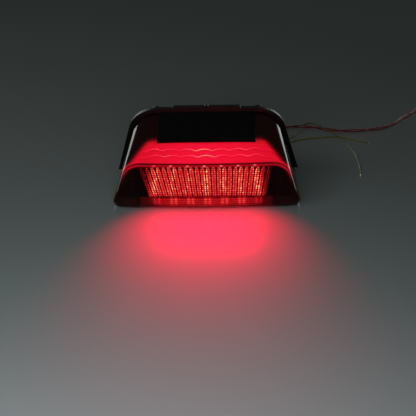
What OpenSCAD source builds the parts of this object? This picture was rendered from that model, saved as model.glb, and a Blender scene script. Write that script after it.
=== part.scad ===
// Motorcycle tail light: a sealed lens cup bonded to a black rear housing.
// The lamp stands on its flat underside. X runs across the lamp, its front
// faces -Y and +Z is up. The origin is the middle of the lamp's footprint.

/* [Lens] */
// Width over the lower front corners
lamp_w = 223; // [210:1:270]
// Height of the upright band along the foot of the front
band_h = 16; // [14:0.5:20]
// Height of the front face's top edge
face_h = 46; // [44:0.5:56]
// How far the top edge of the front face lies behind its foot
face_lean = 27; // [22:0.5:33]
// How far the middle of the front stands out before its corners
bow = 6; // [3:0.5:8]
// Depth from the front edge to the lens's rear edge
lens_depth = 98; // [94:1:120]
// Thickness of the lens
lens_wall = 2.5; // [2:0.1:3]

/* [Rear rim] */
// Height of the rim's arch
rim_h = 90; // [87:0.5:110]
// How far the rim's feet stand outside the lens's front corners
rim_flare = 6; // [4:0.5:9]
// How far each side of the rim leans in from its foot to its shoulder
rim_taper = 19.5; // [14:0.5:20]
// Width of the rim that shows around the lens
rim_band = 5.5; // [4:0.1:7]
// Height at which the rim's feet end
rim_foot_h = 8; // [6:0.5:12]
// Width of the raised middle of the arch
hump_w = 86; // [70:1:100]
// Height of the raised middle above the arch
hump_h = 2; // [1:0.5:3]

/* [Housing] */
// Depth of the tub behind the rim's seat
tub_depth = 19; // [17:0.5:26]
// Thickness of the housing's walls
housing_wall = 2.5; // [2:0.1:3]
// Width across the pair of upper mounting bosses
boss_spacing = 128; // [110:1:132]
// How far the upper mounting bosses' axes lie below the arch's crown
boss_drop = 15; // [14:0.5:20]
// Radius of the wall of a threaded insert
insert_r = 2.5; // [2:0.1:3]
// Depth of a threaded insert
insert_len = 11; // [9:0.5:13]
// Height of the lower lug's mid plane
lug_z = 14; // [12:0.5:18]
// Reach of the lower lug from the tub to its hole
lug_reach = 14; // [13:0.5:20]
// Bore radius of the steel collar in the lower lug
collar_bore_r = 3.2; // [2.7:0.1:3.3]

/* [Lamp unit] */
// Number of columns of lamps
led_cols = 7; // [5:1:7]
// Spacing of the columns
led_pitch = 20; // [18:0.5:20.5]
// Spacing of the rows
led_row_pitch = 9.5; // [9:0.1:10]
// Radius of a lamp's dome
led_r = 2.4; // [2:0.1:2.6]
// Radius of a reflector cup at its mouth
cup_r = 6.5; // [5:0.1:6.8]
// Number of flutes across the fan of the inner optic
flute_count = 30; // [20:2:40]
// Depth of a flute
flute_depth = 0.9; // [0.5:0.1:1.2]
// Width of the fan of flutes at its top
fan_w = 160; // [150:1:162]
// Distance below the fan at which its flutes would meet
fan_reach = 225; // [180:5:300]

/* [Top pad] */
// Width of the foam pad on the roof of the lens
pad_w = 119; // [100:1:130]
// Depth from the front edge to the pad's front edge
pad_front = 56; // [50:1:65]
// Thickness of the pad
pad_t = 2; // [1.5:0.1:3]

/* [Leads] */
// Radius of an insulated lead
lead_r = 0.8; // [0.6:0.05:0.9]
// Radius at which the two red leads wind around each other
twist_r = 1.3; // [1.2:0.05:1.5]
// Length of a stripped lead end
bare_len = 8; // [5:0.5:12]

/* [Hidden] */

fit = 0.15;            // gap between parts that lie face to face on a curve
slip = 0.1;            // radial gap around a pin or a lead in its hole
edge_r = 4;            // rounding of the lens's lower edges
brow_r = 5;            // rounding of the front face's top edge
face_corner = [24, 16];        // half axes of the face's upper corners
face_taper = 9;        // how far the face's sides lean in below those corners
band_step = 2;         // how far the band's top lies behind the foot
arch_corner = [38, 29.5];      // half axes of the arch's upper corners
bead_w = lens_wall;    // width of the gasket
bead_t = 1;            // thickness of the gasket
seat_t = 3;            // thickness of the flange that carries the gasket
lip_d = 3;             // how far the rim reaches forward over the lens
lip_gap = 0.4;         // gap between the lens and the rim around it
tub_inset = 9;         // how far the tub lies inside the rim's outline
tub_foot = 6;          // height of the tub's underside
half_w = lamp_w / 2;
lug_r = 11;            // radius of the lower lug's round end
lug_t = 5;             // thickness of the lower lug
lug_hole_r = 6.2;      // radius of the hole for the grommet
grommet_h = 10;        // height of the grommet and its collar
collar_r = collar_bore_r + 1.3;             // outer radius of the steel collar
flange_d = lens_depth + bead_t;             // depth of the flange's front face
back_d = flange_d + tub_depth;              // depth of the tub's rear face
total_d = back_d + lug_reach + lug_r;       // depth of the whole lamp
front_y = -total_d / 2;
back_y = front_y + back_d;
boss_z = rim_h - boss_drop;                 // height of the upper mounting bosses
boss_r = 8.5;          // radius of an upper mounting boss
boss_len = 4;          // how far a mounting boss stands behind the tub
insert_wall = 1.6;     // wall of a threaded insert
post_r = 4;            // radius of the posts inside the tub
screw_r = 1.5;         // radius of the small screws' shanks
head_r = 2.8;          // radius of their heads
head_t = 1.8;          // height of their heads

lean_a = atan2(face_lean - band_step, face_h - band_h);     // lean of the front face
brow_d = face_lean + brow_r / 2;            // depth of the roof's front line
roof_a = atan2(rim_h - rim_band - face_h, lens_depth - brow_d);   // slope of the roof
optic_y = 4;           // depth of the optic's face behind the front face
optic_t = 3;           // thickness of the optic
optic_h = 38;          // height of the optic along the front face
plate_y = optic_y + optic_t + fit;          // front of the carrier's face plate
plate_t = 2.5;         // thickness of the carrier's face plate
cup_y = 12.5;          // depth of the cups' mouths
cup_len = 11;          // depth of the cups
board_t = 1.6;         // thickness of every circuit board
board_y = cup_y + cup_len;                  // depth of the lamp board's front
bank_z = 22.8;         // middle of the bank of lamps, along the front face
bank_h = 33.5;         // height of the bank
bank_w = (led_cols - 1) * led_pitch + 2 * cup_r + 4;        // width of the bank
cheek_x = bank_w / 2 + 11;                  // inner face of the carrier's cheeks
cheek_t = 2.5;         // thickness of the cheeks and the hood
board_w = 2 * cheek_x - 2;                  // width of the lamp board
hood_z = -8.5;         // top of the hood, measured from the roof of the lens
signal_y = 20;         // depth of the signal boards' fronts
signal_w = 13;         // width of a signal board
signal_x = cheek_x + cheek_t + 0.5 + signal_w / 2;          // middle of a signal board
carrier_post_x = cheek_x - post_r - 1;      // place of the posts that carry the carrier
carrier_post_z = [14, 58];                  // heights of those posts
foot_y = front_y + flange_d;                // plane where the carrier's feet meet them
board_screw_x = board_w / 2 - 3.2;          // place of the lamp board's screws
board_screw_z = [bank_z - 11, bank_z + 11];
signal_screw_z = [7, 33];                   // heights of the signal boards' screws
driver_y = back_y - housing_wall - 8;       // rear face of the driver board
driver_size = [100, 48];                    // driver board's width and height
driver_at = [18, 33];  // middle of the driver board
gland_at = [60, 26];   // middle of the lead gland
gland_r = 7;           // radius of the gland's hole in the wall
gland_out = 6;         // how far the gland stands out behind the tub
breather_at = [-72, 22];                    // middle of the breather cap
red_at = [-3, 1.5];    // place of the red pair in the gland
olive_at = [1, -2];    // place of the olive lead in the gland
yellow_at = [4, 1.5];  // place of the yellow lead in the gland
lead_places = [red_at + [twist_r, 0], red_at - [twist_r, 0], olive_at, yellow_at];

// Routes of the leads, from the gland along the ground to their far ends.
exit_y = back_y + gland_out;
red_route = [
    [57, exit_y, 27.5], [57, exit_y + 9.5, 27], [58, 77, 21], [61, 93, 13], [66, 110, 6.5],
    [74, 128, 3], [85, 146, 2.2], [98, 161, 2.2], [113, 169, 2.2], [130, 170, 2.2],
    [147, 167, 2.2], [164, 160, 2.2], [182, 154, 2.2], [201, 152, 2.2], [220, 154, 2.2],
    [238, 158, 2.2], [254, 167, 2.2], [270, 181, 2.2], [287, 202, 2.2], [303, 220, 2.2],
    [319, 238, 2.4], [334, 255, 2.8]];
olive_route = [
    [61, exit_y, 24], [61.5, exit_y + 8.5, 23.5], [65.5, 74, 17.5], [73, 88, 8.5], [83, 101, 2.6],
    [95, 113, 0.9], [107, 124, 0.9], [117, 137, 1.2], [125, 151, 3], [132, 163, 5.4],
    [140, 170, 6.3], [149, 169, 6.3], [157, 161, 6.2], [165, 151, 5.2], [173, 142, 3.6],
    [181, 130, 2.9], [188, 115, 1.4], [193, 96, 0.9], [196, 72, 0.9], [196, 45, 0.9],
    [194, 18, 0.9]];
yellow_route = [
    [64, exit_y, 27.5], [64.5, exit_y + 8.5, 27], [69, 74, 21], [77, 87, 12.5], [87, 99, 5],
    [99, 110, 1.6], [113, 119, 0.9], [129, 127, 0.9], [146, 131, 0.9], [163, 134, 0.9],
    [179, 135, 0.9], [192, 129, 0.9], [203, 122, 0.9], [213, 116, 0.9]];

// ---- shared geometry ----

function unit(v) = v / norm(v);

// How far the front lies back at x, on a parabola across the lamp.
function sweep_back(x) = bow * pow(x / half_w, 2);

// The same, measured square to the leaning front face.
function bowl(x) = sweep_back(x) * cos(lean_a);

// One side of the arch, drawn in by inset, from its foot up to the crown.
function arch_side(inset, foot) =
    let (
        foot_x = half_w + rim_flare - inset,
        corner = [for (a = [15:7.5:90]) [
            half_w + rim_flare - rim_taper - arch_corner[0] + (arch_corner[0] - inset) * cos(a),
            rim_h - arch_corner[1] + (arch_corner[1] - inset) * sin(a)]],
        slant = (corner[0][0] - foot_x) / corner[0][1])
    concat([[foot_x + slant * foot, foot]], corner);

function mirrored(side) = [for (k = [len(side) - 1:-1:0]) [-side[k][0], side[k][1]]];

module arch(inset, foot) {
    polygon(concat(arch_side(inset, foot), mirrored(arch_side(inset, foot))));
}

// Stands a flat outline up at a depth behind the front, and gives it a thickness.
module upright(depth, thickness) {
    translate([0, front_y + depth, 0])
        rotate([90, 0, 0])
            translate([0, 0, -thickness])
                linear_extrude(thickness) children();
}

// Frame of the leaning front face: X across, Z up the slope and Y inwards.
module face_frame() {
    translate([0, front_y + band_step, band_h]) rotate([-lean_a, 0, 0]) children();
}

// Frame of the roof: X across, Y up the slope to the rear and Z outwards.
module roof_frame() {
    translate([0, front_y + brow_d, face_h]) rotate([roof_a, 0, 0]) children();
}

// A depth and height on the lamp for a place in the frame of the front face.
function on_face(y, z) = [
    band_step + y * cos(lean_a) + z * sin(lean_a),
    band_h - y * sin(lean_a) + z * cos(lean_a)];

// The same for a place in the frame of the roof.
function on_roof(y, z) = [
    brow_d + y * cos(roof_a) - z * sin(roof_a),
    face_h + y * sin(roof_a) + z * cos(roof_a)];

// A slab across the lamp, outlined by depth and height.
module crossways(x, width, outline) {
    translate([x - width / 2, front_y, 0])
        rotate([90, 0, 90])
            linear_extrude(width) polygon(outline);
}

module rounded_plate(size, r) {
    for (x = [-1, 1], z = [-1, 1])
        translate([x * (size[0] / 2 - r), z * (size[1] / 2 - r)]) circle(r, $fn = 24);
    square([size[0] - 2 * r, size[1]], center = true);
    square([size[0], size[1] - 2 * r], center = true);
}

module pin(r, length) {
    rotate([-90, 0, 0]) cylinder(r = r, h = length, $fn = 32);
}

module both_sides() {
    children();
    mirror([1, 0, 0]) children();
}

// ---- lens and the parts around it ----

// Outer form of the lens, drawn in by inset; extra lengthens it to the rear.
module lens_form(inset, extra) {
    steps = [-1:0.25:1];
    brow_w = half_w - face_taper - face_corner[0];
    hull() {
        for (s = steps, row = [[edge_r, half_w - 2.5, 0], [band_h, half_w - 4.5, band_step]])
            translate([
                s * (row[1] - edge_r),
                front_y + edge_r + row[2] + sweep_back(s * row[1]),
                row[0]])
                sphere(edge_r - inset, $fn = 16);
        for (side = [-1, 1])
            translate([side * (half_w - edge_r), front_y + edge_r + bow + 2, edge_r + 2])
                sphere(edge_r - inset, $fn = 16);
        for (s = steps)
            brow_ball(s * brow_w, face_h - brow_r, inset);
        for (side = [-1, 1], a = [0:22.5:67.5])
            brow_ball(
                side * (brow_w + (face_corner[0] - brow_r) * cos(a)),
                face_h - face_corner[1] + (face_corner[1] - brow_r) * sin(a),
                inset);
        translate([0, 0, inset])
            linear_extrude(1)
                polygon([for (s = [-1:0.125:1]) let (x = s * (half_w - edge_r - inset))
                    [x, front_y + edge_r + sweep_back(x) + (abs(s) == 1 ? 6 : 0)]]);
        upright(lens_depth - 1, 1 + extra) arch(rim_band + inset, inset);
    }
}

// A ball behind the front face that rounds its upper edge and corners.
module brow_ball(x, z, inset) {
    lift = (z - band_h) * tan(lean_a) + band_step;
    translate([x, front_y + lift + sweep_back(x) + brow_r / cos(lean_a), z])
        sphere(brow_r - inset, $fn = 16);
}

module lens() {
    color([0.45, 0.04, 0.07, 0.55])
        difference() {
            lens_form(0, 0);
            lens_form(lens_wall, 1);
        }
}

module lens_gasket() {
    color([0.06, 0.06, 0.06])
        upright(lens_depth, bead_t)
            difference() {
                arch(rim_band, 0);
                arch(rim_band + bead_w, bead_w);
            }
}

// The pad follows the roof of the lens.
module top_pad() {
    color([0.02, 0.02, 0.02])
        intersection() {
            translate([-pad_w / 2, front_y + pad_front, face_h])
                cube([pad_w, lens_depth - lip_d - 0.5 - pad_front, rim_h]);
            difference() {
                lens_form(-pad_t, 0);
                lens_form(-fit, 0);
            }
        }
}

// ---- housing ----

module housing() {
    color([0.03, 0.03, 0.03])
        difference() {
            union() {
                upright(lens_depth - lip_d, lip_d + bead_t + seat_t)
                    difference() {
                        arch(0, rim_foot_h);
                        arch(rim_band - lip_gap, -1);
                    }
                upright(flange_d, seat_t)
                    difference() {
                        arch(rim_band - lip_gap - 0.1, 0);
                        arch(tub_inset + housing_wall, tub_foot + housing_wall);
                    }
                upright(flange_d, tub_depth)
                    difference() {
                        arch(tub_inset, tub_foot);
                        arch(tub_inset + housing_wall, tub_foot + housing_wall);
                    }
                upright(back_d - housing_wall, housing_wall) arch(tub_inset, tub_foot);
                hump();
                both_sides() mounting_boss();
                carrier_post_places() pin(post_r, tub_depth - 1);
                driver_post_places() pin(3, back_y - 1 - driver_y);
                lower_lug();
            }
            both_sides()
                translate([boss_spacing / 2, back_y + boss_len - insert_len, boss_z])
                    pin(insert_r + insert_wall + slip, insert_len + 1);
            carrier_post_places() translate([0, -1, 0]) pin(screw_r, 13);
            driver_post_places() translate([0, -1, 0]) pin(screw_r, 7);
            translate([gland_at[0], back_y - housing_wall - 1, gland_at[1]])
                pin(gland_r, housing_wall + 2);
            translate([breather_at[0], back_y - housing_wall - 1, breather_at[1]])
                pin(2.5, housing_wall + 2);
            translate([0, back_y + lug_reach, lug_z - lug_t])
                cylinder(r = lug_hole_r, h = 2 * lug_t, $fn = 48);
        }
}

// Raised middle of the arch, with a small nib on the centre line.
module hump() {
    upright(lens_depth - lip_d, lip_d + bead_t + seat_t)
        polygon([
            [-hump_w / 2, rim_h - 2], [hump_w / 2, rim_h - 2], [hump_w / 2 - 2, rim_h + hump_h],
            [-hump_w / 2 + 2, rim_h + hump_h]]);
    translate([0, front_y + lens_depth - lip_d + 1, rim_h + hump_h - 0.8]) pin(2.6, 5);
}

module mounting_boss() {
    translate([boss_spacing / 2, front_y + flange_d, boss_z])
        pin(boss_r, tub_depth + boss_len);
}

// Where the posts inside the tub meet the feet of the inner carrier.
module carrier_post_places() {
    both_sides()
        for (z = carrier_post_z)
            translate([carrier_post_x, foot_y, z]) children();
}

module driver_post_places() {
    for (x = [-1, 1], z = [-1, 1])
        translate([
            driver_at[0] + x * (driver_size[0] / 2 - 4), driver_y,
            driver_at[1] + z * (driver_size[1] / 2 - 4)])
            children();
}

module lower_lug() {
    translate([0, back_y + lug_reach, lug_z - lug_t / 2])
        cylinder(r = lug_r, h = lug_t, $fn = 64);
    translate([-lug_r, back_y - 1, lug_z - lug_t / 2]) cube([2 * lug_r, lug_reach + 1, lug_t]);
}

module mounting_inserts() {
    color("goldenrod")
        both_sides()
            translate([boss_spacing / 2, back_y + boss_len - insert_len, boss_z])
                difference() {
                    pin(insert_r + insert_wall, insert_len);
                    translate([0, -1, 0]) pin(insert_r, insert_len + 2);
                }
}

module lug_grommet() {
    color([0.08, 0.08, 0.08])
        translate([0, back_y + lug_reach, lug_z])
            rotate_extrude($fn = 64)
                polygon([
                    [collar_r + slip, -grommet_h / 2], [9, -grommet_h / 2], [9.4, -lug_t / 2 - slip],
                    [lug_hole_r - slip, -lug_t / 2 - slip], [lug_hole_r - slip, lug_t / 2 + slip],
                    [9.4, lug_t / 2 + slip], [9, grommet_h / 2], [collar_r + slip, grommet_h / 2]]);
}

module lug_collar() {
    color("silver")
        translate([0, back_y + lug_reach, lug_z - grommet_h / 2])
            difference() {
                cylinder(r = collar_r, h = grommet_h, $fn = 48);
                translate([0, 0, -1]) cylinder(r = collar_bore_r, h = grommet_h + 2, $fn = 48);
            }
}

module lead_gland() {
    color([0.08, 0.08, 0.08])
        translate([gland_at[0], back_y, gland_at[1]])
            difference() {
                rotate([-90, 0, 0])
                    rotate_extrude($fn = 48)
                        polygon([
                            [0, -housing_wall - 2], [gland_r + 1.5, -housing_wall - 2],
                            [gland_r + 1.5, -housing_wall - slip], [gland_r - slip, -housing_wall - slip],
                            [gland_r - slip, slip], [gland_r + 2, slip], [gland_r + 2, 2],
                            [gland_r - 0.5, gland_out], [0, gland_out]]);
                for (at = lead_places)
                    translate([at[0], -housing_wall - 3, at[1]])
                        pin(lead_r + slip, housing_wall + gland_out + 4);
            }
}
module breather_cap() {
    color([0.1, 0.1, 0.1])
        translate([breather_at[0], back_y, breather_at[1]])
            difference() {
                union() {
                    translate([0, -housing_wall - 1, 0]) pin(2.5 - slip, housing_wall + 3);
                    pin(6, 2);
                    pin(4.5, 8);
                }
                translate([0, -housing_wall - 2, 0]) pin(1, housing_wall + 8);
            }
}

// ---- lamp unit ----

// Inner moulding: a face plate with windows, two cheeks, a hood and its feet.
module inner_carrier() {
    color([0.05, 0.05, 0.05])
        difference() {
            union() {
                face_frame() face_plate();
                both_sides() cheek();
                crossways(0, 2 * (cheek_x + cheek_t), hood_outline);
                both_sides()
                    for (z = carrier_post_z)
                        translate([carrier_post_x, foot_y - 3, z]) foot();
                face_frame() {
                    both_sides() {
                        for (z = board_screw_z)
                            plate_boss(board_screw_x, z, 2.8, board_y);
                        for (z = signal_screw_z)
                            plate_boss(signal_x, z, 2.2, signal_y);
                    }
                }
            }
            both_sides()
                for (z = carrier_post_z)
                    translate([carrier_post_x, foot_y - 4, z]) pin(screw_r + slip, 6);
            face_frame()
                both_sides() {
                    for (z = board_screw_z)
                        translate([board_screw_x, board_y - 6, z]) pin(1, 7);
                    for (z = signal_screw_z)
                        translate([signal_x, signal_y - 6, z]) pin(1, 7);
                }
        }
}

// A boss from the middle of the face plate back to the front of a board.
module plate_boss(x, z, r, to) {
    from = plate_y + bowl(x) + plate_t / 2;
    translate([x, from, z]) pin(r, to - from);
}

module foot() {
    pin(4.5, 3);
    translate([0, 0, -4.5]) cube([cheek_x - carrier_post_x + 1, 3, 9]);
}

module face_plate() {
    window_lift = 4;
    difference() {
        intersection() {
            translate([0, 0, 1])
                linear_extrude(40)
                    polygon(concat(
                        [for (x = [-half_w:5:half_w]) [x, plate_y + bowl(x)]],
                        [for (x = [half_w:-5:-half_w]) [x, plate_y + plate_t + bowl(x)]]));
            rotate([90, 0, 0])
                translate([0, 0, -30])
                    linear_extrude(60) polygon(concat(plate_side, mirrored(plate_side)));
        }
        rotate([90, 0, 0])
            translate([0, 0, -30])
                linear_extrude(60)
                    polygon([
                        [-fan_x(window_lift) + 4, window_lift], [fan_x(window_lift) - 4, window_lift],
                        [fan_x(optic_h) - 5, optic_h - 2], [-fan_x(optic_h) + 5, optic_h - 2]]);
        both_sides()
            translate([signal_x - signal_w / 2 + 1, 0, 11])
                cube([signal_w - 4, 30, 18]);
    }
}

// Outline of the face plate's right side: it keeps inside the lens's corners.
plate_inset = 7;
plate_side = concat(
    [[half_w - plate_inset - 3, 1]],
    [for (a = [0:15:90]) [
        half_w - plate_inset - face_taper - face_corner[0] + face_corner[0] * cos(a),
        20 + 21 * sin(a)]]);

// Half width of the fan of flutes at a height along the front face.
function fan_x(z) = fan_w / 2 * (fan_reach + z) / (fan_reach + optic_h);

hood_end = (lens_depth - 2 - brow_d) / cos(roof_a) + hood_z * tan(roof_a);
hood_outline = [
    on_roof(6, hood_z), on_roof(hood_end, hood_z), on_roof(hood_end, hood_z - 2),
    on_roof(8, hood_z - 2)];

module cheek() {
    crossways(cheek_x + cheek_t / 2, cheek_t, [
        on_face(plate_y + 4, 1), on_face(plate_y + 9, -2), [flange_d, 6.5],
        [flange_d, 66], [lens_depth - 6, 68], on_roof(8, hood_z - 1),
        on_face(plate_y + 4, optic_h)]);
}

// Inner optic: a fan of flutes over the face and fine ribs along the band.
module fluted_optic() {
    rib_count = 4;
    rib_h = 2.6;
    count = 2 * flute_count;
    color([0.8, 0.05, 0.1, 0.7]) {
        face_frame()
            two_skins(
                [for (z = [0, optic_h]) [for (k = [0:count])
                    let (x = fan_x(z) * (2 * k / count - 1))
                    [x, optic_y + bowl(x) + (k % 2) * flute_depth, z]]],
                [for (z = [0, optic_h]) [for (k = [0:count])
                    let (x = fan_x(z) * (2 * k / count - 1))
                    [x, optic_y + optic_t + bowl(x), z]]]);
        for (k = [0:rib_count - 1])
            translate([0, front_y, 3.2 + k * rib_h]) {
                linear_extrude(rib_h) band_strip(5.2, 1.8);
                linear_extrude(rib_h / 2) band_strip(4.6, 1);
            }
    }
}

// Plan of a strip that follows the bow of the front.
module band_strip(depth, thickness) {
    reach = fan_w / 2 - 4;
    polygon(concat(
        [for (s = [-1:0.1:1]) [s * reach, depth + sweep_back(s * reach)]],
        [for (s = [1:-0.1:-1]) [s * reach, depth + thickness + sweep_back(s * reach)]]));
}

// Closed solid between a front skin and a back skin, each given as rows of points.
module two_skins(front, back) {
    rows = len(front);
    cols = len(front[0]);
    size = rows * cols;
    function at(r, c) = r * cols + c;
    polyhedron(
        points = concat([for (row = front) each row], [for (row = back) each row]),
        faces = concat(
            [for (r = [0:rows - 2], c = [0:cols - 2]) each [
                [at(r, c), at(r + 1, c), at(r + 1, c + 1)],
                [at(r, c), at(r + 1, c + 1), at(r, c + 1)],
                [size + at(r, c), size + at(r + 1, c + 1), size + at(r + 1, c)],
                [size + at(r, c), size + at(r, c + 1), size + at(r + 1, c + 1)]]],
            [for (c = [0:cols - 2]) each [
                [at(0, c), at(0, c + 1), size + at(0, c + 1)],
                [at(0, c), size + at(0, c + 1), size + at(0, c)],
                [at(rows - 1, c), size + at(rows - 1, c + 1), at(rows - 1, c + 1)],
                [at(rows - 1, c), size + at(rows - 1, c), size + at(rows - 1, c + 1)]]],
            [for (r = [0:rows - 2]) each [
                [at(r, 0), size + at(r + 1, 0), at(r + 1, 0)],
                [at(r, 0), size + at(r, 0), size + at(r + 1, 0)],
                [at(r, cols - 1), at(r + 1, cols - 1), size + at(r + 1, cols - 1)],
                [at(r, cols - 1), size + at(r + 1, cols - 1), size + at(r, cols - 1)]]]));
}

// Places of the tail lamps in the frame of the front face.
module lamp_places() {
    for (c = [0:led_cols - 1], r = [-1:1])
        translate([(c - (led_cols - 1) / 2) * led_pitch, 0, bank_z + r * led_row_pitch])
            children();
}

module led_reflector() {
    color([0.75, 0.2, 0.2])
        face_frame()
            difference() {
                translate([-bank_w / 2, cup_y, bank_z - bank_h / 2])
                    cube([bank_w, cup_len, bank_h]);
                lamp_places()
                    translate([0, cup_y - 0.01, 0])
                        rotate([-90, 0, 0])
                            cylinder(r1 = cup_r, r2 = led_r + 0.5, h = cup_len + 0.02, $fn = 32);
            }
}

// Stepped panel under the roof; each step has one scallop to each lamp column.
module upper_reflector() {
    depth = 28;
    steps = [[0, 0], [9, 1.4], [18, 2.8]];
    color([0.75, 0.2, 0.2])
        roof_frame()
            for (s = steps)
                translate([0, 7, hood_z + fit + s[1]])
                    linear_extrude(1.4)
                        if (s[0] == 0)
                            translate([-cheek_x, 0]) square([2 * cheek_x, depth]);
                        else
                            intersection() {
                                translate([-cheek_x, s[0]]) square([2 * cheek_x, depth - s[0]]);
                                union() {
                                    translate([-cheek_x, s[0] + 5])
                                        square([2 * cheek_x, depth]);
                                    for (c = [0:led_cols - 1])
                                        translate([
                                            (c - (led_cols - 1) / 2) * led_pitch, s[0] + 9])
                                            circle(9, $fn = 48);
                                }
                            }
}

module led_board() {
    color("darkgreen")
        face_frame()
            difference() {
                translate([-board_w / 2, board_y, bank_z - bank_h / 2])
                    cube([board_w, board_t, bank_h]);
                both_sides()
                    for (z = board_screw_z)
                        translate([board_screw_x, board_y - 1, z]) pin(1.4, board_t + 2);
            }
}

// A lamp with a domed tip, seated on a board whose front is at depth y.
module lamp(y) {
    translate([0, y, 0])
        rotate([90, 0, 0])
            rotate_extrude($fn = 24)
                polygon(concat(
                    [[0, 0], [led_r, 0]],
                    [for (a = [0:15:90]) [led_r * cos(a), 5.5 + led_r * sin(a)]]));
}

module tail_leds() {
    color([1, 0.25, 0.2]) face_frame() lamp_places() lamp(board_y);
}

module led_resistors() {
    color([0.15, 0.15, 0.15])
        face_frame()
            for (c = [0:led_cols - 1])
                translate([
                    (c - (led_cols - 1) / 2) * led_pitch - 1.6, board_y + board_t, bank_z + 8])
                    cube([3.2, 0.6, 1.6]);
}

module signal_board() {
    face_frame()
        difference() {
            translate([signal_x - signal_w / 2, signal_y, 3])
                cube([signal_w, board_t, 34]);
            for (z = signal_screw_z)
                translate([signal_x, signal_y - 1, z]) pin(1.4, board_t + 2);
        }
}

module signal_leds() {
    face_frame()
        for (z = [13.5, 20, 26.5])
            translate([signal_x, 0, z]) lamp(signal_y);
}

module left_signal_board() { color("darkgreen") mirror([1, 0, 0]) signal_board(); }
module right_signal_board() { color("darkgreen") signal_board(); }
module left_signal_leds() { color([1, 0.7, 0.1]) mirror([1, 0, 0]) signal_leds(); }
module right_signal_leds() { color([1, 0.7, 0.1]) signal_leds(); }

// Pan head screw whose head rests at the origin and whose shank runs along -Y.
module screw(shank_r, length, head) {
    translate([0, -length, 0]) pin(shank_r, length);
    pin(head, head_t);
}

module board_screws() {
    color("silver")
        face_frame()
            both_sides() {
                for (z = board_screw_z)
                    translate([board_screw_x, board_y + board_t, z]) screw(1 - fit / 3, 6, 2);
                for (z = signal_screw_z)
                    translate([signal_x, signal_y + board_t, z]) screw(1 - fit / 3, 6, 2);
            }
}

module carrier_screws() {
    color("silver")
        both_sides()
            for (z = carrier_post_z)
                translate([carrier_post_x, foot_y - 3, z])
                    rotate([0, 0, 180]) screw(screw_r - fit / 3, 12, head_r);
}

// ---- driver ----

module driver_board() {
    color("darkgreen")
        difference() {
            translate([driver_at[0], driver_y, driver_at[1]])
                rotate([90, 0, 0])
                    linear_extrude(board_t) rounded_plate(driver_size, 2);
            driver_post_places() translate([0, -board_t - 1, 0]) pin(screw_r + slip, board_t + 2);
        }
}

driver_face = driver_y - board_t;           // front face of the driver board

module driver_regulator() {
    color([0.1, 0.1, 0.1])
        translate([driver_at[0] + 22, driver_face, driver_at[1] + 4]) {
            translate([-5, -4.5, -5]) cube([10, 4.5, 9]);
            translate([-5, -1.2, 4]) cube([10, 1.2, 6]);
        }
}

module driver_capacitor() {
    color([0.1, 0.1, 0.35])
        translate([driver_at[0] + 2, driver_face, driver_at[1] + 6])
            rotate([90, 0, 0])
                rotate_extrude($fn = 48) polygon([[0, 0], [5, 0], [5, 10.6], [4.6, 11], [0, 11]]);
}

module driver_diodes() {
    color([0.12, 0.12, 0.12])
        for (k = [0:3])
            translate([driver_at[0] - 14 + k * 8, driver_face - 2.4, driver_at[1] - 12])
                cube([4.6, 2.4, 2.8]);
}

module driver_screws() {
    color("silver")
        driver_post_places()
            translate([0, -board_t, 0]) rotate([0, 0, 180]) screw(screw_r - fit / 3, 6, head_r);
}

module terminal_block() {
    color([0.1, 0.3, 0.15])
        translate([gland_at[0] - 7, driver_y, gland_at[1] - 4]) cube([14, 4, 8]);
}

// Flat cable from the driver board to the back of the lamp board.
module link_ribbon() {
    start = on_face(board_y + board_t + 0.6, bank_z);
    finish = [driver_face - front_y, driver_at[1] + 2];
    sag = 6;
    function line(t, side) = [
        start[0] + (finish[0] - start[0]) * t,
        start[1] + (finish[1] - start[1]) * t - sag * 4 * t * (1 - t) + side * 0.4];
    color([0.35, 0.35, 0.38])
        crossways(0, 14, concat(
            [for (t = [0:0.1:1]) line(t, 1)], [for (t = [1:-0.1:0]) line(t, -1)]));
}

module inner_leads() {
    color([0.6, 0.1, 0.1])
        for (at = lead_places)
            translate([gland_at[0] + at[0], driver_y + 4, gland_at[1] + at[1]])
                pin(lead_r, exit_y - driver_y - 4 - fit);
}

// ---- leads ----

function heading(route, k) =
    unit(route[min(k + 1, len(route) - 1)] - route[max(k - 1, 0)]);
function aside(route, k) = unit(cross(heading(route, k), [0, 0, 1]));
function above(route, k) = cross(aside(route, k), heading(route, k));

// One strand of the pair: it winds round the route a quarter turn to each point.
function strand(route, phase) = [for (k = [0:len(route) - 1])
    route[k] + twist_r * (cos(90 * k + phase) * aside(route, k)
                          + sin(90 * k + phase) * above(route, k))];

// A round tube of eight sides along a route.
module tube(route, r) {
    sides = 8;
    last = len(route) - 1;
    polyhedron(
        points = [for (k = [0:last], s = [0:sides - 1]) let (a = s * 360 / sides)
            route[k] + r * (cos(a) * aside(route, k) + sin(a) * above(route, k))],
        faces = concat(
            [[for (s = [0:sides - 1]) s]],
            [for (k = [0:last - 1], s = [0:sides - 1]) let (n = (s + 1) % sides) each [
                [k * sides + s, (k + 1) * sides + s, (k + 1) * sides + n],
                [k * sides + s, (k + 1) * sides + n, k * sides + n]]],
            [[for (s = [sides - 1:-1:0]) last * sides + s]]));
}

// The stretch beyond a route's end, from one distance to another along its heading.
function beyond(route, from, to) = let (last = len(route) - 1) [
    route[last] + from * heading(route, last), route[last] + to * heading(route, last)];

module red_lead_a() { color([0.75, 0.05, 0.08]) tube(strand(red_route, 0), lead_r); }
module red_lead_b() { color([0.75, 0.05, 0.08]) tube(strand(red_route, 180), lead_r); }
module yellow_lead() { color([0.8, 0.75, 0.15]) tube(yellow_route, lead_r); }
module olive_lead() { color([0.45, 0.5, 0.12]) tube(olive_route, lead_r); }

module yellow_bare_end() { color("silver") tube(beyond(yellow_route, 0, bare_len), 0.5); }
module olive_bare_end() { color("silver") tube(beyond(olive_route, 0, bare_len), 0.5); }

bullet_len = 18;       // length of a bullet terminal

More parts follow.
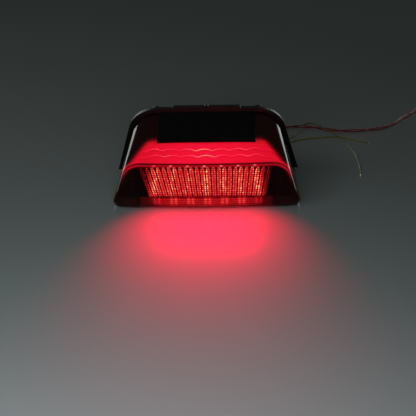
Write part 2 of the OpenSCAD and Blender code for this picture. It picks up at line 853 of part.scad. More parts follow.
// Turns children so that their Z axis runs on from the end of a strand.
module at_strand_end(phase) {
    ends = strand(red_route, phase);
    last = len(red_route) - 1;
    way = heading(red_route, last);
    translate(ends[last])
        rotate([90, 0, atan2(way[1], way[0]) + 90])
            translate([0, 0, fit]) children();
}

module bullet_terminals() {
    color("goldenrod")
        for (phase = [0, 180])
            at_strand_end(phase)
                rotate_extrude($fn = 24)
                    polygon([
                        [0, 0], [0.9, 0], [0.9, bullet_len - 8], [1.2, bullet_len - 8],
                        [1.2, bullet_len - 3], [0.9, bullet_len - 2.5], [1.2, bullet_len - 1.5],
                        [0.6, bullet_len], [0, bullet_len]]);
}

module bullet_sleeves() {
    color([0.8, 0.2, 0.2])
        for (phase = [0, 180])
            at_strand_end(phase)
                difference() {
                    translate([0, 0, 0.2]) cylinder(r = 1.25, h = 9, $fn = 24);
                    cylinder(r = 0.95, h = 10, $fn = 24);
                }
}

housing();
lens();
lens_gasket();
top_pad();
inner_carrier();
fluted_optic();
led_reflector();
upper_reflector();
led_board();
tail_leds();
led_resistors();
left_signal_board();
right_signal_board();
left_signal_leds();
right_signal_leds();
board_screws();
carrier_screws();
driver_board();
driver_regulator();
driver_capacitor();
driver_diodes();
driver_screws();
terminal_block();
link_ribbon();
inner_leads();
lead_gland();
breather_cap();
mounting_inserts();
lug_grommet();
lug_collar();
red_lead_a();
red_lead_b();
yellow_lead();
olive_lead();
yellow_bare_end();
olive_bare_end();
bullet_terminals();
bullet_sleeves();
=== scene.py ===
import bpy
import math
import numpy as np
from mathutils import Matrix


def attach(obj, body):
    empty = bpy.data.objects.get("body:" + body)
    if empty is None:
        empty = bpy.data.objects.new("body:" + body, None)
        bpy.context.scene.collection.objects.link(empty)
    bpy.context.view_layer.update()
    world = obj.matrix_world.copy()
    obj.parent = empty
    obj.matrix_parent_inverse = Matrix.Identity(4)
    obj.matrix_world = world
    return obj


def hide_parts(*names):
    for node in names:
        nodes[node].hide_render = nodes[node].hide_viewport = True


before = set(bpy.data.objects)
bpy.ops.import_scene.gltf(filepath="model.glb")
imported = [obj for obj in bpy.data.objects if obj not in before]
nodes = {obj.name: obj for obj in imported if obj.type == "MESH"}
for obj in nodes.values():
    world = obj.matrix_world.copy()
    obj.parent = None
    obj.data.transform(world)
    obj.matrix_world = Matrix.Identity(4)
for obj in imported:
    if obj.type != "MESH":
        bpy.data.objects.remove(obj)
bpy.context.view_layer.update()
mm = 0.001
print("stage: frame loaded,", len(nodes), "nodes")


def linearOf(hexColour):
    # sRGB hex to linear: below 0.04045 divide by 12.92, above it the 2.4 power
    raw = [int(hexColour[k:k + 2], 16) / 255 for k in (1, 3, 5)]
    return tuple(c / 12.92 if c <= 0.04045 else ((c + 0.055) / 1.055) ** 2.4 for c in raw) + (1.0,)


def smoothStep(low, high, value):
    t = np.clip((value - low) / (high - low), 0, 1)
    return t * t * (3 - 2 * t)


def addNode(tree, kind, settings=None, values=None, links=None):
    # one node with its settings, its plain socket values and the sockets that feed it
    node = tree.nodes.new(kind)
    for key, value in (settings or {}).items():
        setattr(node, key, value)
    for key, value in (values or {}).items():
        node.inputs[key].default_value = value
    for key, source in (links or {}).items():
        tree.links.new(source, node.inputs[key])
    return node


def repeats(size):
    # how many sizes of that many millimetres go into a metre, which is a texture's scale
    return 1000.0 / size


def newMaterial(name):
    # an empty material, its node tree and the place on the object that its patterns follow
    material = bpy.data.materials.new(name)
    material.use_nodes = True
    tree = material.node_tree
    tree.nodes.clear()
    return material, tree, addNode(tree, "ShaderNodeTexCoord").outputs["Object"]


def noiseOf(tree, where, size, detail, distortion=0.0):
    # soft noise whose clouds are about that many millimetres across
    node = addNode(tree, "ShaderNodeTexNoise",
                   values={"Scale": repeats(size), "Detail": detail, "Distortion": distortion},
                   links={"Vector": where})
    return node.outputs["Fac"]


def toneOf(tree, factor, darkHex, lightHex):
    # a blend from the dark tone at 0 to the light one at 1
    node = addNode(tree, "ShaderNodeMix", {"data_type": "RGBA"},
                   {"A": linearOf(darkHex), "B": linearOf(lightHex)}, {"Factor": factor})
    return node.outputs["Result"]


def spreadOf(tree, factor, low, high):
    # 0 to 1 stretched to low to high
    node = addNode(tree, "ShaderNodeMapRange", values={"To Min": low, "To Max": high},
                   links={"Value": factor})
    return node.outputs["Result"]


def reliefOf(tree, height, strength, depth):
    # a surface normal tilted by a height pattern that is depth millimetres deep
    node = addNode(tree, "ShaderNodeBump", values={"Strength": strength, "Distance": depth * mm},
                   links={"Height": height})
    return node.outputs["Normal"]


def finishTree(tree, values, links):
    # the one surface shader of a material, joined to its output
    skin = addNode(tree, "ShaderNodeBsdfPrincipled", values=values, links=links)
    addNode(tree, "ShaderNodeOutputMaterial", links={"Surface": skin.outputs["BSDF"]})


def pieceFrom(name, points, faces, material, attributes=None):
    # a smooth-shaded piece on the one body, from points in mm, with a value for each point
    mesh = bpy.data.meshes.new(name)
    mesh.from_pydata((np.asarray(points) * mm).tolist(), [], faces)
    mesh.polygons.foreach_set("use_smooth", np.ones(len(mesh.polygons), dtype=bool))
    for key, values in (attributes or {}).items():
        layer = mesh.attributes.new(key, "FLOAT", "POINT")
        layer.data.foreach_set("value", np.asarray(values, dtype=np.float32).ravel())
    mesh.update()
    piece = bpy.data.objects.new(name, mesh)
    bpy.context.scene.collection.objects.link(piece)
    mesh.materials.append(material)
    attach(piece, "root")
    return piece


def gridFaces(rows, cols, wrap=False, start=0, flip=False):
    # quads of a grid of rows by cols points, as whole index arrays
    r, c = np.meshgrid(np.arange(rows - 1), np.arange(cols if wrap else cols - 1), indexing="ij")
    a, b = start + r * cols + c, start + r * cols + (c + 1) % cols
    quads = np.stack([a, b, b + cols, a + cols], axis=-1).reshape(-1, 4)
    return (quads[:, ::-1] if flip else quads).tolist()


viewpoint = {
    "azimuth": 1.976, "elevation": 29.11, "roll": 1.476,   # degrees
    "distance": 892.5, "target": (2.09, -71.5, 2.75),      # mm, distance from the target
    "lens": 65.63, "sensor": 36.0,                         # focal length and film width, mm
    "nearest": 0.01, "farthest": 50,                       # m
}


def placeCamera(v):
    # axes from azimuth and elevation, then turned about the line of sight by roll
    az, el, roll = (math.radians(v[k]) for k in ("azimuth", "elevation", "roll"))
    ahead = np.array([-math.sin(az) * math.cos(el), math.cos(az) * math.cos(el), -math.sin(el)])
    right = np.array([math.cos(az), math.sin(az), 0.0])
    up = np.cross(right, ahead)
    acrossAxis = right * math.cos(roll) - up * math.sin(roll)
    upAxis = right * math.sin(roll) + up * math.cos(roll)
    place = (np.array(v["target"]) - ahead * v["distance"]) * mm
    columns = np.column_stack([acrossAxis, upAxis, -ahead, place])
    data = bpy.data.cameras.new("viewCamera")
    data.lens, data.sensor_width = v["lens"], v["sensor"]
    data.clip_start, data.clip_end = v["nearest"], v["farthest"]
    camera = bpy.data.objects.new("viewCamera", data)
    camera.matrix_world = Matrix(np.vstack([columns, [0, 0, 0, 1]]).tolist())
    bpy.context.scene.collection.objects.link(camera)
    bpy.context.scene.camera = camera


placeCamera(viewpoint)


# flexible PVC insulation, extruded: a soft even sheen with a very slight unevenness in it
def pvcMaterial(name, lightHex, darkHex):
    material, tree, where = newMaterial(name)
    # colour clouds about 11 mm long, and an unevenness of 1.1 mm, about twice the real one
    mottle = noiseOf(tree, where, 11, 3.0)
    fine = noiseOf(tree, where, 1.1, 2.0)
    finishTree(tree, {"IOR": 1.53}, {
        "Base Color": toneOf(tree, mottle, darkHex, lightHex),
        "Roughness": spreadOf(tree, mottle, 0.32, 0.5),
        "Normal": reliefOf(tree, fine, 0.15, 0.1)})
    return material


# tinned copper strands, drawn and twisted: dull silver with a warm cast where the tin is thin
def tinnedCopper():
    material, tree, where = newMaterial("tinnedCopperDrawn")
    worn = noiseOf(tree, where, 1.4, 4.0)      # patches of thin tin, 1.4 mm
    finishTree(tree, {"Metallic": 1.0, "Roughness": 0.34},
               {"Base Color": toneOf(tree, worn, "#c9a184", "#d9d4c8")})
    return material


leadValues = {
    "leadR": 0.8, "sides": 14, "perSpan": 10,      # radius in mm, and how finely a lead is drawn
    "twistR": 1.3, "turnEach": 90.0,               # the red pair: radius, degrees a route point
    "bareR": 0.5, "bareLen": 8.0, "bareInside": 0.5, "bareRows": 40, "bareSides": 28,
    "strands": 7, "strandSwell": 0.16, "layLength": 7.0,
    # routes in mm, from inside the gland to the far end
    "red": [(57, 52.5, 27.5), (57, 62, 27), (58, 77, 21), (61, 93, 13), (66, 110, 6.5),
            (74, 128, 3), (85, 146, 2.2), (98, 161, 2.2), (113, 169, 2.2), (130, 170, 2.2),
            (147, 167, 2.2), (164, 160, 2.2), (182, 154, 2.2), (201, 152, 2.2), (220, 154, 2.2),
            (238, 158, 2.2), (254, 167, 2.2), (270, 181, 2.2), (287, 202, 2.2), (303, 220, 2.2),
            (319, 238, 2.4), (334, 255, 2.8)],
    "olive": [(61, 52.5, 24), (61.5, 61, 23.5), (65.5, 74, 17.5), (73, 88, 8.5), (83, 101, 2.6),
              (95, 113, 0.9), (107, 124, 0.9), (117, 137, 1.2), (125, 151, 3), (132, 163, 5.4),
              (140, 170, 6.3), (149, 169, 6.3), (157, 161, 6.2), (165, 151, 5.2), (173, 142, 3.6),
              (181, 130, 2.9), (188, 115, 1.4), (193, 96, 0.9), (196, 72, 0.9), (196, 45, 0.9),
              (194, 18, 0.9)],
    "yellow": [(64, 52.5, 27.5), (64.5, 61, 27), (69, 74, 21), (77, 87, 12.5), (87, 99, 5),
               (99, 110, 1.6), (113, 119, 0.9), (129, 127, 0.9), (146, 131, 0.9), (163, 134, 0.9),
               (179, 135, 0.9), (192, 129, 0.9), (203, 122, 0.9), (213, 116, 0.9)],
}


def smoothPath(points, per):
    # Catmull-Rom curve through the points: each span is a cubic of its four nearest points
    p = np.asarray(points, float)
    q = np.vstack([2 * p[0] - p[1], p, 2 * p[-1] - p[-2]])
    t = np.linspace(0, 1, per, endpoint=False)[None, :, None]
    a, b, c, d = (q[k:len(q) - 3 + k][:, None, :] for k in range(4))
    curve = 0.5 * (2 * b + (c - a) * t + (2 * a - 5 * b + 4 * c - d) * t ** 2
                   + (3 * b - a - 3 * c + d) * t ** 3)
    return np.vstack([curve.reshape(-1, 3), p[-1]])


def frameAlong(path):
    # heading from neighbouring points, then level and upward directions square to it
    heading = np.gradient(path, axis=0)
    heading /= np.linalg.norm(heading, axis=1)[:, None]
    aside = np.cross(heading, [0, 0, 1.0])
    aside /= np.linalg.norm(aside, axis=1)[:, None]
    return heading, aside, np.cross(aside, heading)


def tubeAlong(name, path, radius, material, sides, strands=0, swell=0.0, layLength=1.0):
    # a circle carried along the path; with strands its radius swells once for each, and the
    # swellings wind round once in each lay length
    heading, aside, above = frameAlong(path)
    run = np.concatenate([[0], np.cumsum(np.linalg.norm(np.diff(path, axis=0), axis=1))])
    turn = np.linspace(0, 2 * np.pi, sides, endpoint=False)[None, :]
    wide = 1 + swell * np.cos(strands * (turn - 2 * np.pi * run[:, None] / layLength))
    ring = radius * wide[..., None] * (np.cos(turn)[..., None] * aside[:, None]
                                       + np.sin(turn)[..., None] * above[:, None])
    points = (path[:, None] + ring).reshape(-1, 3)
    count = len(path)
    faces = gridFaces(count, sides, wrap=True, flip=True)
    faces += [list(range(sides)), list(range(count * sides - 1, (count - 1) * sides - 1, -1))]
    return pieceFrom(name, points, faces, material)


def twistedStrand(centre, radius, phase, turnEach, per):
    # the pair turns evenly from one route point to the next; each lead keeps one radius off
    # the middle, on its own side
    heading, aside, above = frameAlong(centre)
    angle = np.radians(turnEach * np.arange(len(centre)) / per + phase)[:, None]
    return centre + radius * (np.cos(angle) * aside + np.sin(angle) * above)


def makeLeads(v):
    redPvc = pvcMaterial("redPvcExtruded", "#b3202a", "#8a141c")
    yellowPvc = pvcMaterial("yellowPvcExtruded", "#b0a32e", "#8d8222")
    olivePvc = pvcMaterial("olivePvcExtruded", "#6d7420", "#4b5016")
    copper = tinnedCopper()
    made = {}
    centre = smoothPath(v["red"], v["perSpan"])
    for letter, phase in (("a", 0), ("b", 180)):
        path = twistedStrand(centre, v["twistR"], phase, v["turnEach"], v["perSpan"])
        made["red_" + letter] = (path, tubeAlong("redLead_" + letter, path, v["leadR"], redPvc,
                                                 v["sides"]))
    for colour, material in (("olive", olivePvc), ("yellow", yellowPvc)):
        path = smoothPath(v[colour], v["perSpan"])
        made[colour] = (path, tubeAlong(colour + "Lead", path, v["leadR"], material,
                                        v["sides"]))
        ahead = path[-1] - path[-2]
        ahead /= np.linalg.norm(ahead)
        tip = path[-1] + ahead * np.linspace(-v["bareInside"], v["bareLen"], v["bareRows"])[:, None]
        bare = tubeAlong(colour + "BareEnd", tip, v["bareR"], copper, v["bareSides"],
                         v["strands"], v["strandSwell"], v["layLength"])
        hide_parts(colour + "_bare_end")
        made[colour + "Bare"] = (tip, bare)
    for key, node in (("red_a", "red_lead_a"), ("red_b", "red_lead_b"),
                      ("olive", "olive_lead"), ("yellow", "yellow_lead")):
        path, piece = made[key]
        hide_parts(node)


makeLeads(leadValues)
print("stage: camera and leads")


# sizes of the lamp in mm and its two slopes; flutes is how many can be seen across the fan
lamp = {
    "frontY": -71.5, "halfW": 111.5, "faceHalfW": 102.5, "bow": 6.0, "lensDepth": 98.0,
    "bandH": 16.0, "bandStep": 2.0, "faceH": 46.0, "browD": 29.5,
    "lean": math.atan2(25.0, 30.0), "roof": math.atan2(38.5, 68.5),     # run to rise, rise to run
    "ledPitch": 20.0, "ledRowPitch": 9.5, "bankZ": 22.8,
    "flutes": 24, "fanW": 160.0, "fanReach": 225.0, "opticH": 38.0,
}


def sweepBack(x):
    # parabola across the lamp: the front lies back by the bow at its ends
    return lamp["bow"] * (x / lamp["halfW"]) ** 2


def onFace(x, y, z):
    # frame of the leaning face to the lamp's frame: turn by the lean about the band's top edge
    a = lamp["lean"]
    return np.stack([x, lamp["frontY"] + lamp["bandStep"] + y * math.cos(a) + z * math.sin(a),
                     lamp["bandH"] - y * math.sin(a) + z * math.cos(a)], axis=-1)


def outerPlanes(node):
    # planes of the moulding's outside: those with every corner of it on or behind them, to
    # within 0.03 mm; triangles too thin to have a direction are left out
    thin, within = 1e-3, 0.03
    mesh = nodes[node].data
    mesh.calc_loop_triangles()
    co = np.empty(len(mesh.vertices) * 3)
    mesh.vertices.foreach_get("co", co)
    co = co.reshape(-1, 3) / mm
    tri = np.empty(len(mesh.loop_triangles) * 3, dtype=int)
    mesh.loop_triangles.foreach_get("vertices", tri)
    a, b, c = (co[tri.reshape(-1, 3)[:, k]] for k in range(3))
    normal = np.cross(b - a, c - a)
    size = np.linalg.norm(normal, axis=1)
    normal, a = normal[size > thin] / size[size > thin][:, None], a[size > thin]
    offset = np.einsum("ij,ij->i", normal, a)
    corners = np.unique(np.round(co, 2), axis=0)
    out = (corners @ normal.T).max(axis=0) - offset < within
    both = np.unique(np.round(np.column_stack([normal, offset])[out], 3), axis=0)
    return both[:, :3], both[:, 3]


lensNormals, lensOffsets = outerPlanes("lens")


def heightOver(x, y, grow=0.0):
    # lowest of the upward-facing planes over a place in plan, moved outwards by grow
    steepest = 0.05
    up = lensNormals[:, 2] > steepest
    n, d = lensNormals[up], lensOffsets[up]
    return ((d + grow - x[..., None] * n[:, 0] - y[..., None] * n[:, 1]) / n[:, 2]).min(axis=-1)


# what colour a brightness of 0 to 1 shows, on the lens's roof and edges and on the optic
lensStops = [(0.0, "#050000"), (0.14, "#2a0203"), (0.30, "#780410"), (0.46, "#c4081e"),
             (0.60, "#ec0f34"), (0.72, "#fc3048"), (0.84, "#ff8670"), (0.93, "#ffc684"), (1.0, "#ffeaa4")]
opticStops = [(0.0, "#0a0000"), (0.15, "#380102"), (0.30, "#96080e"), (0.45, "#be181e"),
              (0.60, "#d13a34"), (0.72, "#de6450"), (0.84, "#f09670"), (0.93, "#ffcd7d"), (1.0, "#ffe896")]


def glowRamp(tree, source, stops):
    # brightness 0 to 1 turned to the colour of red lamps seen through red plastic: black red,
    # saturated red, and yellow where the lamp itself shows
    ramp = addNode(tree, "ShaderNodeValToRGB", links={"Fac": source})
    bar = ramp.color_ramp
    while len(bar.elements) < len(stops):
        bar.elements.new(0.5)      # anywhere between the two ends, and placed below
    for element, (place, hexColour) in zip(bar.elements, stops):
        element.position = place
        element.color = linearOf(hexColour)
    return ramp.outputs["Color"]


# smoked red polycarbonate, injection moulded and polished: a clear dark face, a frosted roof lit by a
# painted glow of the lamps inside, and mirror-like side walls with faint wipe marks
def lensMaterial():
    material, tree, where = newMaterial("smokedPolycarbonatePaintedGlow")
    glow = addNode(tree, "ShaderNodeAttribute", {"attribute_name": "glow"})
    cover = addNode(tree, "ShaderNodeAttribute", {"attribute_name": "cover"})
    # the frosting is 0.1 mm grit in the mould, too fine to show, so it is drawn 2.4 mm coarse, as a
    # painted speckle in the glow
    paintedGlowSpeckle = spreadOf(tree, noiseOf(tree, where, 2.4, 4.0), -0.05, 0.05)
    level = addNode(tree, "ShaderNodeMath", {"operation": "ADD"},
                    links={0: glow.outputs["Fac"], 1: paintedGlowSpeckle})
    wipe = noiseOf(tree, where, 17, 5.0, 0.6)      # a fingertip's wipe, 17 mm
    finishTree(tree, {"Base Color": linearOf("#1c0407"), "IOR": 1.585, "Specular IOR Level": 0.7,
                      "Emission Strength": 1.15},
               {"Roughness": spreadOf(tree, wipe, 0.05, 0.16), "Alpha": cover.outputs["Fac"],
                "Emission Color": glowRamp(tree, level.outputs["Value"], lensStops)})
    return material


lensValues = {
    # grid of directions round and upwards, how they are stretched, and where they start, mm
    "around": 330, "upward": 150, "poleGap": 0.004, "stretch": (112.0, 52.0, 46.0),
    "middle": (0.0, -12.0, 36.0), "soften": 2, "wall": 2.5, "rearInset": 0.6,
    # outline of the face: size of its upper corners, how far it runs above the optic, and how
    # much it widens for each mm below 18 mm
    "corner": (24.0, 20.8), "cornerMean": 22.0, "aboveOptic": 1.4, "splay": 0.12, "splayBelow": 18.0,
    # lit roof, a painted glow: where it starts to fade and where it is dark, its half width at the brow
    # and how it narrows, its brightness, and the crossed lines pressed into it, drawn as painted bright
    # and dark lines in that glow
    "roofReach": (26.0, 41.0), "roofSide": 99.0, "roofNarrow": 0.64, "sideFade": 13.0,
    "roofGlow": 0.5, "roofMiddle": 0.06, "weave": 0.03, "weavePitch": 2.7,
    # scalloped lines: distance from the brow, half their wave, how they fall off to the sides,
    # and the brightness and half width of each line and of the shadow in front of it
    "scallopAt": (10.4, 19.6), "scallopDip": 2.5, "scallopFall": (0.011, 58.0),
    "line": (0.3, 0.62), "lineShadow": (0.06, 0.9), "shadowShift": 1.9, "patchPitch": 51.0,
    # bright edge and spots inside the outline, dark line outside it, lit flank beyond that:
    # strength, distance outwards in mm and half width
    "edge": (0.5, -1.7, 1.15), "spot": (0.6, -1.7, 0.9), "spotHalf": 1.7, "darkLine": (0.8, 0.5, 0.75),
    "flank": (0.42, 2.2, 2.0), "teethPitch": 3.0, "teethBelow": 24.0,
    # how much the shell hides: on the roof and sides, less on the face, more at its edge and in its unlit
    # corners, where the denser shell is a painted shade, and on the band at the foot
    "cover": 0.95, "faceLess": 0.76, "cornerMore": 0.36, "edgeMore": 0.6, "edgeHalf": 1.5,
    "bandCover": 0.22, "bandMore": 0.45, "coverRange": (0.14, 0.97),
}


def ridge(place, at, half):
    # 1 at a line and falling off on both sides of it by its half width, as a bell curve
    return np.exp(-((place - at) / half) ** 2)


def faceOutline(x, z):
    # how far outside the face's outline a place lies: the face narrows a little upwards, and
    # its upper corners are quarter ellipses
    v = lensValues
    top = lamp["opticH"] + v["aboveOptic"]
    reachX = np.abs(x) - (lamp["faceHalfW"] - v["corner"][0])
    reachZ = z - (top - v["corner"][1])
    splay = v["splay"] * np.maximum(v["splayBelow"] - z, 0)
    flat = np.maximum(np.abs(x) - lamp["faceHalfW"] - splay, z - top)
    radial = np.hypot(np.maximum(reachX, 0) / v["corner"][0], np.maximum(reachZ, 0) / v["corner"][1])
    return np.where((reachX > 0) & (reachZ > 0), (radial - 1) * v["cornerMean"], flat)


def roofGlow(x, roofS, v):
    # bright from the brow back and dark farther back, crossed by two scalloped lines whose
    # strength wanders along them; pairs in smoothStep are the mm where a fade starts and ends
    across = np.abs(x)
    dark, lit = v["roofReach"][1], v["roofReach"][0]
    side = v["roofSide"] - v["roofNarrow"] * roofS
    roof = smoothStep(dark, lit, roofS) * smoothStep(side, side - v["sideFade"], across) \
        * smoothStep(-3.0, 0.6, roofS)
    weave = sum(v["weave"] * np.cos(2 * np.pi * (x + sign * roofS) / v["weavePitch"]) for sign in (1, -1))
    glow = roof * (v["roofGlow"] + weave + v["roofMiddle"] * smoothStep(76, 20, across))
    for k, place in enumerate(v["scallopAt"]):
        arch = np.abs(np.cos(np.pi * x / lamp["ledPitch"] + 0.35 * k)) - 0.5
        fall = v["scallopFall"][0] * np.maximum(across - v["scallopFall"][1], 0) ** 2
        wave = place + v["scallopDip"] * arch - fall
        patch = 0.62 + 0.24 * np.cos(2 * np.pi * x / v["patchPitch"] + k) \
            + 0.3 * smoothStep(34, 8, np.abs(x + 3 - 6 * k))
        glow = glow + v["line"][0] * ridge(roofS, wave, v["line"][1]) * patch * smoothStep(92, 66, across)
        glow = glow - v["lineShadow"][0] * ridge(roofS, wave - v["shadowShift"], v["lineShadow"][1]) \
            * smoothStep(92, 70, across)
    return glow, roof


def lensGlow(points):
    # how bright and how dense the shell is at each point: the lit roof, then the outline of
    # the face as a bright line beside a dark one, then the cover of face, edge and band
    v = lensValues
    x, y, z = points[..., 0], points[..., 1], points[..., 2]
    across = np.abs(x)
    depth = y - lamp["frontY"] - sweepBack(x)
    roofS = (depth - lamp["browD"]) / math.cos(lamp["roof"])
    glow, roof = roofGlow(x, roofS, v)
    # along the leaning face upwards, and square behind it
    back, rise = depth - lamp["bandStep"], z - lamp["bandH"]
    faceZ = back * math.sin(lamp["lean"]) + rise * math.cos(lamp["lean"])
    behind = back * math.cos(lamp["lean"]) - rise * math.sin(lamp["lean"])
    out = faceOutline(x, faceZ)
    front = smoothStep(6.0, 3.0, np.abs(behind))
    fade = smoothStep(8, 32, faceZ)
    level, at, half = v["edge"]
    glow = glow + level * ridge(out, at, half) * front * fade
    # one spot near each column of lamps, 2 mm to its left
    pitch = lamp["ledPitch"]
    spot = ridge(np.mod(x + 2 + pitch / 2, pitch), pitch / 2, v["spotHalf"]) * smoothStep(74, 60, across)
    level, at, half = v["spot"]
    glow = glow + level * spot * ridge(out, at, half) * front * smoothStep(30, 36, faceZ)
    level, at, half = v["darkLine"]
    glow = glow * (1 - level * ridge(out, at, half) * front)
    level, at, half = v["flank"]
    flank = ridge(out, at, half) * smoothStep(14, 34, faceZ) * smoothStep(74, 92, across) \
        * smoothStep(12.0, 4.0, np.abs(behind))
    teeth = 0.7 + 0.3 * np.cos(2 * np.pi * faceZ / v["teethPitch"])
    glow = glow + level * flank * (1 - roof) * np.where(faceZ < v["teethBelow"], teeth, 1.0)
    face = front * smoothStep(0.6, -1.0, out)
    # the unlit corners are hidden more by the shell: painted shade
    corner = smoothStep(76, 90, across - 0.28 * (faceZ - 19))
    cover = v["cover"] - (v["faceLess"] - v["cornerMore"] * corner) * face \
        + v["edgeMore"] * ridge(out, v["edge"][1], v["edgeHalf"]) * front * fade
    band = smoothStep(17, 14, z) * smoothStep(12, 8, depth)
    cover = np.where(band > 0.5, v["bandCover"] + v["bandMore"] * smoothStep(70, 92, across), cover)
    return np.clip(glow * (1 - band), 0, 1), np.clip(cover, *v["coverRange"])


def makeLens(v):
    # directions stretched to the lamp's proportions; along each, the nearest outer plane gives
    # the point, and neighbouring points are then averaged to round what is left of the facets
    around = np.linspace(0, 2 * np.pi, v["around"], endpoint=False)[None, :]
    upward = np.linspace(v["poleGap"], np.pi - v["poleGap"], v["upward"])[:, None]
    way = np.stack([np.sin(upward) * np.sin(around) * v["stretch"][0],
                    -np.sin(upward) * np.cos(around) * v["stretch"][1],
                    -np.cos(upward) * v["stretch"][2] + 0 * around], axis=-1)
    middle = np.array(v["middle"])
    room = lensOffsets - lensNormals @ middle
    facing = way.reshape(-1, 3) @ lensNormals.T
    reach = np.where(facing > 1e-9, room / np.maximum(facing, 1e-9), np.inf).min(axis=1)
    points = middle + way * reach.reshape(way.shape[:2])[..., None]
    for again in range(v["soften"]):
        points = (np.roll(points, 1, axis=1) + 2 * points + np.roll(points, -1, axis=1)) / 4
        points[1:-1] = (points[:-2] + 2 * points[1:-1] + points[2:]) / 4
    glow, cover = lensGlow(points)
    flat = points.reshape(-1, 3)
    quads = np.array(gridFaces(v["upward"], v["around"], wrap=True))
    # the cup is open at the back, and closed where the directions meet below and above
    rear = lamp["frontY"] + lamp["lensDepth"] - v["rearInset"]
    faces = quads[flat[quads][:, :, 1].mean(axis=1) < rear].tolist()
    last = (v["upward"] - 1) * v["around"]
    faces += [list(range(v["around"] - 1, -1, -1)), list(range(last, last + v["around"]))]
    piece = pieceFrom("lensShell", flat, faces, lensMaterial(),
                      attributes={"glow": glow, "cover": cover})
    wall = piece.modifiers.new("wall", "SOLIDIFY")
    wall.thickness, wall.offset, wall.use_even_offset = v["wall"] * mm, -1, False
    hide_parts("lens")
    return piece


lens = makeLens(lensValues)
print("stage: lens")


# red acrylic, moulded with flutes and beads and lit from behind, its light painted on as glow: each bead
# is a small bright lens beside a dark groove, and seven columns of lamps show through as orange streaks
def opticMaterial():
    material, tree, where = newMaterial("redAcrylicMouldedLit")
    glow = addNode(tree, "ShaderNodeAttribute", {"attribute_name": "glow"})
    # noise of 1.6 mm makes the painted glow uneven, as flow marks would
    uneven = spreadOf(tree, noiseOf(tree, where, 1.6, 3.0), 0.72, 1.28)      # flow marks of 1.6 mm
    level = addNode(tree, "ShaderNodeMath", {"operation": "MULTIPLY"},
                    links={0: glow.outputs["Fac"], 1: uneven})
    finishTree(tree, {"Base Color": linearOf("#4a060c"), "Roughness": 0.18, "IOR": 1.49,
                      "Emission Strength": 2.0},
               {"Emission Color": glowRamp(tree, level.outputs["Value"], opticStops)})
    return material


opticValues = {
    # columns in a flute, rows in a bead, their sizes and the wall in mm; the fan drifts
    # sideways from its top to its foot
    "perFlute": 12, "beadPitch": 2.55, "perBead": 8, "fluteDepth": 0.9, "beadDepth": 0.35,
    "behind": 4.0, "wall": 1.2, "drift": 3.2,
    # half width of the groove as a share of a flute: at least, more at the sides, more on top
    "groove": (0.09, 0.07, 0.14), "litFrom": (0.05, 0.08), "dotAt": 0.14, "dotHalf": 0.1,
    # brightness: of a flute's body, of its dots, and what lamps straight behind add
    "fill": (0.08, 0.32, 0.1), "dots": (0.36, 0.06, 0.36), "hot": (0.45, 0.55),
    "dotRange": (0.45, 1.3), "seed": 7,
    # strength of each column of lamps from left to right, half widths of streak and knot, and
    # how the streaks spread towards the foot
    "powers": (0.8, 0.66, 0.6, 1.0, 0.8, 0.74, 0.9), "streakHalf": 3.6, "knotHalf": 2.8, "spread": 0.12,
    "streak": 0.6, "knot": 0.55,
    # band: half width, foot and top, how far back it stands, ribs, and its pairs of streaks
    "bandHalf": 78.0, "bandZ": (1.4, 14.6), "bandBehind": 4.6, "bandCols": 281, "bandRows": 40,
    "ribPitch": 2.6, "ribDepth": 0.7, "streakShift": 2.0, "pair": (-2.4, 2.6), "pairHalf": 1.7,
    "bandGlow": 0.36, "pairGlow": 0.3,
}


def lampLight(x, z, v):
    # one soft streak along the flutes behind each column of lamps, brightest in the middle
    # column and with a knot of light at each of the three rows
    total = np.zeros_like(x)
    for column, power in zip(range(-3, 4), v["powers"]):
        off = x - column * lamp["ledPitch"] - v["spread"] * (lamp["bankZ"] - z) * np.sign(column)
        streak = ridge(off, 0, v["streakHalf"]) * (0.4 + 0.6 * smoothStep(38, 18, z))
        knots = sum(ridge(off, 0, v["knotHalf"])
                    * ridge(z, lamp["bankZ"] + row * lamp["ledRowPitch"], v["knotHalf"])
                    for row in (-1, 0, 1))
        total = total + power * (v["streak"] * streak + v["knot"] * knots)
    return total


def fanGlow(x, z, u, bead, v):
    # glow of a flute: a dark groove that widens into a tooth at the top, a red body, and two
    # rows of small bright beads of uneven strength, most of them near the lamps
    light = lampLight(x, z, v)
    inner = smoothStep(73, 63, np.abs(x))
    nearGroove = np.minimum(np.mod(u, 1), 1 - np.mod(u, 1))
    narrow, sideMore, topMore = v["groove"]
    groove = narrow + sideMore * (1 - inner) + topMore * smoothStep(32, 37, z)
    body = smoothStep(groove - v["litFrom"][0], groove + v["litFrom"][1], nearGroove)
    beads = int(lamp["opticH"] / v["beadPitch"])
    uneven = np.random.default_rng(v["seed"]).uniform(*v["dotRange"], (beads + 2, 2 * lamp["flutes"] + 1))
    cell = uneven[(z / v["beadPitch"]).astype(int), np.floor(2 * u).astype(int)]
    dots = ridge(nearGroove, groove + v["dotAt"], v["dotHalf"]) * bead ** 2.5 * cell
    fill = v["fill"][0] + v["fill"][1] * inner + v["fill"][2] * light
    strength = v["dots"][0] + v["dots"][1] * inner + v["dots"][2] * light
    glow = body * fill * (0.72 + 0.28 * bead) + dots * strength
    glow = glow + body * v["hot"][0] * np.clip(light - v["hot"][1], 0, 1) * cell
    # dimmer towards the fan's sides and at its very foot
    return glow * smoothStep(84, 70, np.abs(x)) ** 0.5 * (0.25 + 0.75 * smoothStep(-1, 6, z))


